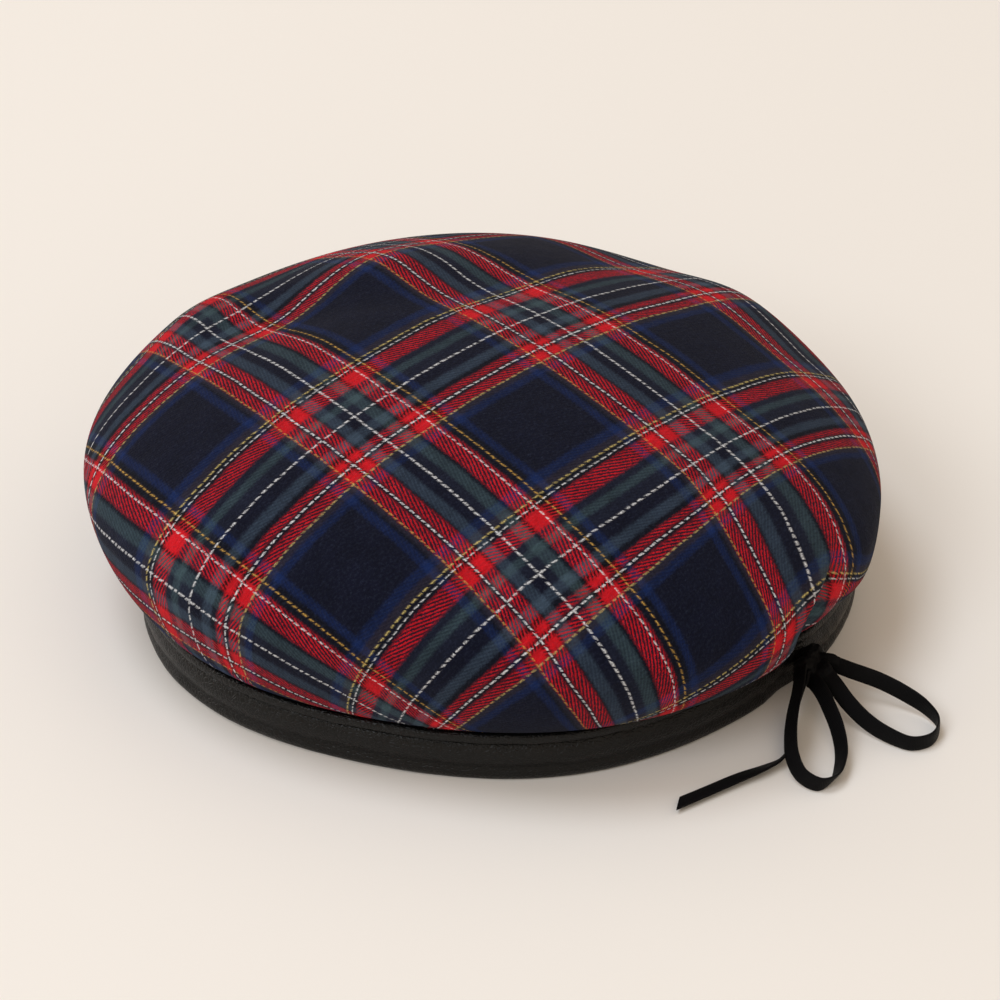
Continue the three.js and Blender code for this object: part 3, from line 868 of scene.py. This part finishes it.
def tartanLook():
    look = Look('tartan wool')
    where = look.node('ShaderNodeUVMap', {'uv_map': 'cloth'})
    sway = look.noise(where, 0.06, 2.0).output('Color')
    nap = look.noise(where, 1.5, 4.0, 0.75).output('Color')
    half = (0.5, 0.5, 0.5)
    swayed = look.node('ShaderNodeVectorMath', {'operation': 'SUBTRACT'}, [sway, half])
    napped = look.node('ShaderNodeVectorMath', {'operation': 'SUBTRACT'}, [nap, half])
    swayed = look.node('ShaderNodeVectorMath', {'operation': 'SCALE'}, {0: swayed, 3: weave['sway'] * 2})
    napped = look.node('ShaderNodeVectorMath', {'operation': 'SCALE'}, {0: napped, 3: weave['jitter'] * 2})
    threads = look.node('ShaderNodeVectorMath', {'operation': 'ADD'}, [where, swayed])
    soft = look.node('ShaderNodeVectorMath', {'operation': 'ADD'}, [threads, napped])
    hardly = look.node('ShaderNodeVectorMath', {'operation': 'SCALE'}, {0: napped, 3: 0.3})
    fine = look.node('ShaderNodeVectorMath', {'operation': 'ADD'}, [threads, hardly])

    def shares(place):
        parts = look.node('ShaderNodeSeparateXYZ', {}, [place])
        a = (parts - drape['startA']) / drape['repeatA']
        b = (parts.output('Y') - drape['startB']) / drape['repeatB']
        return a.math('FRACT'), b.math('FRACT')

    softA, softB = shares(soft)
    fineA, fineB = shares(fine)
    parts = look.node('ShaderNodeSeparateXYZ', {}, [threads])
    millimetresA, millimetresB = parts, parts.output('Y')
    ragged = look.noise(where, 2.4, 3.0, 0.65)

    # Twill: the threads of each way show as slanted strokes over the threads that they cross
    def strokes(across, strength):
        beside = millimetresA * across[0] + millimetresB * across[1]
        along = millimetresB * across[0] - millimetresA * across[1]
        broken = look.noise(look.vector(beside * 1.6, along * 0.9), 1.0, 2.0, 0.6)
        phase = (beside / weave['hatch'] + (ragged - 0.5) * 0.7).math('FRACT')
        ridge = (phase - 0.5).math('ABSOLUTE') * 2
        shown = look.mapRange(ridge + (ragged + broken - 1) * 1.5, 0.34, 0.84)
        contrast = look.mapRange(strength, 0.6, 0.95, (0.35, 1.0))
        return ridge, 0.56 + (shown * (weave['most'] - weave['least']) + weave['least'] - 0.56) * contrast

    groundA = look.node('ShaderNodeValToRGB', {'stops': groundStops(stripesA)}, [softA])
    groundB = look.node('ShaderNodeValToRGB', {'stops': groundStops(stripesB)}, [softB])
    ridgeA, strokesA = strokes(weave['hatchA'], groundA.output('Alpha'))
    ridgeB, strokesB = strokes(weave['hatchB'], groundB.output('Alpha'))
    over = groundA.output('Alpha') - groundB.output('Alpha') + 0.5
    over = look.node('ShaderNodeClamp', {}, [over])
    shareA = over * strokesA + (1 - over) * (1 - strokesB)
    colour = look.mix(shareA, groundB, groundA)
    ridge = over * ridgeA + (1 - over) * ridgeB

    cloudy = look.noise(where, 0.11, 4.0, 0.6)
    fibres = look.noise(where, 4.5, 4.0, 0.7)
    drawnOut = look.vector(millimetresA * 0.35 + millimetresB * 0.12, millimetresB * 1.4)
    streaks = look.noise(drawnOut, 1.0, 4.0, 0.7)
    haze = look.mapRange(look.noise(where, 1.1, 5.0, 0.8), 0.46, 0.72, (0.0, 0.13))
    colour = look.mix(haze, colour, tint(84, 98, 124))
    colour = look.tone(colour, look.mapRange(cloudy, 0.3, 0.7, (0.8, 1.15), 'LINEAR'))
    colour = look.tone(colour, look.mapRange(streaks, 0.3, 0.7, (0.72, 1.2), 'LINEAR'))
    colour = look.tone(colour, look.mapRange(fibres, 0.3, 0.7, (0.6, 1.25), 'LINEAR'))

    lineA = look.node('ShaderNodeValToRGB', {'stops': lineStops(linesA, drape['repeatA'])}, [fineA])
    lineB = look.node('ShaderNodeValToRGB', {'stops': lineStops(linesB, drape['repeatB'])}, [fineB])
    stretch = (look.noise(where, 0.35, 2.0) - 0.5) * 1.2
    dashA = ((millimetresB + millimetresA * weave['dashLean']) / weave['dashA'] + stretch).math('FRACT') - 0.5
    dashB = ((millimetresA + millimetresB * weave['dashLean']) / weave['dashB'] + stretch).math('FRACT') - 0.5
    upA = look.mapRange(dashA.math('ABSOLUTE'), 0.09, 0.24)
    upB = look.mapRange(dashB.math('ABSOLUTE'), 0.09, 0.24)
    worn = look.mapRange(look.noise(where, 1.9, 3.0, 0.7), 0.36, 0.6, (0.25, 1.0))
    onA = lineA.output('Alpha') * upA * worn
    onB = lineB.output('Alpha') * upB * worn
    colour = look.mix(onA * weave['over'], colour, lineA)
    colour = look.mix(onB * weave['over'], colour, lineB)
    relief = look.bump(ridge * 0.35 + onA * 0.5 + onB * 0.5 + fibres * 0.9, 0.0003, 0.8)
    relief = look.bump(cloudy, 0.0012, 0.6, relief)
    roughness = look.mapRange(fibres, 0.3, 0.7, (0.85, 1.0))
    return look.surface({'Base Color': colour, 'Roughness': roughness, 'Normal': relief,
                         'Specular IOR Level': 0.08, 'Sheen Weight': 0.035, 'Sheen Roughness': 0.5,
                         'Sheen Tint': (0.85, 0.88, 1.0, 1.0)})


cap = makeCrown(tartanLook())
print("the crown is gathered")

deselectAll()
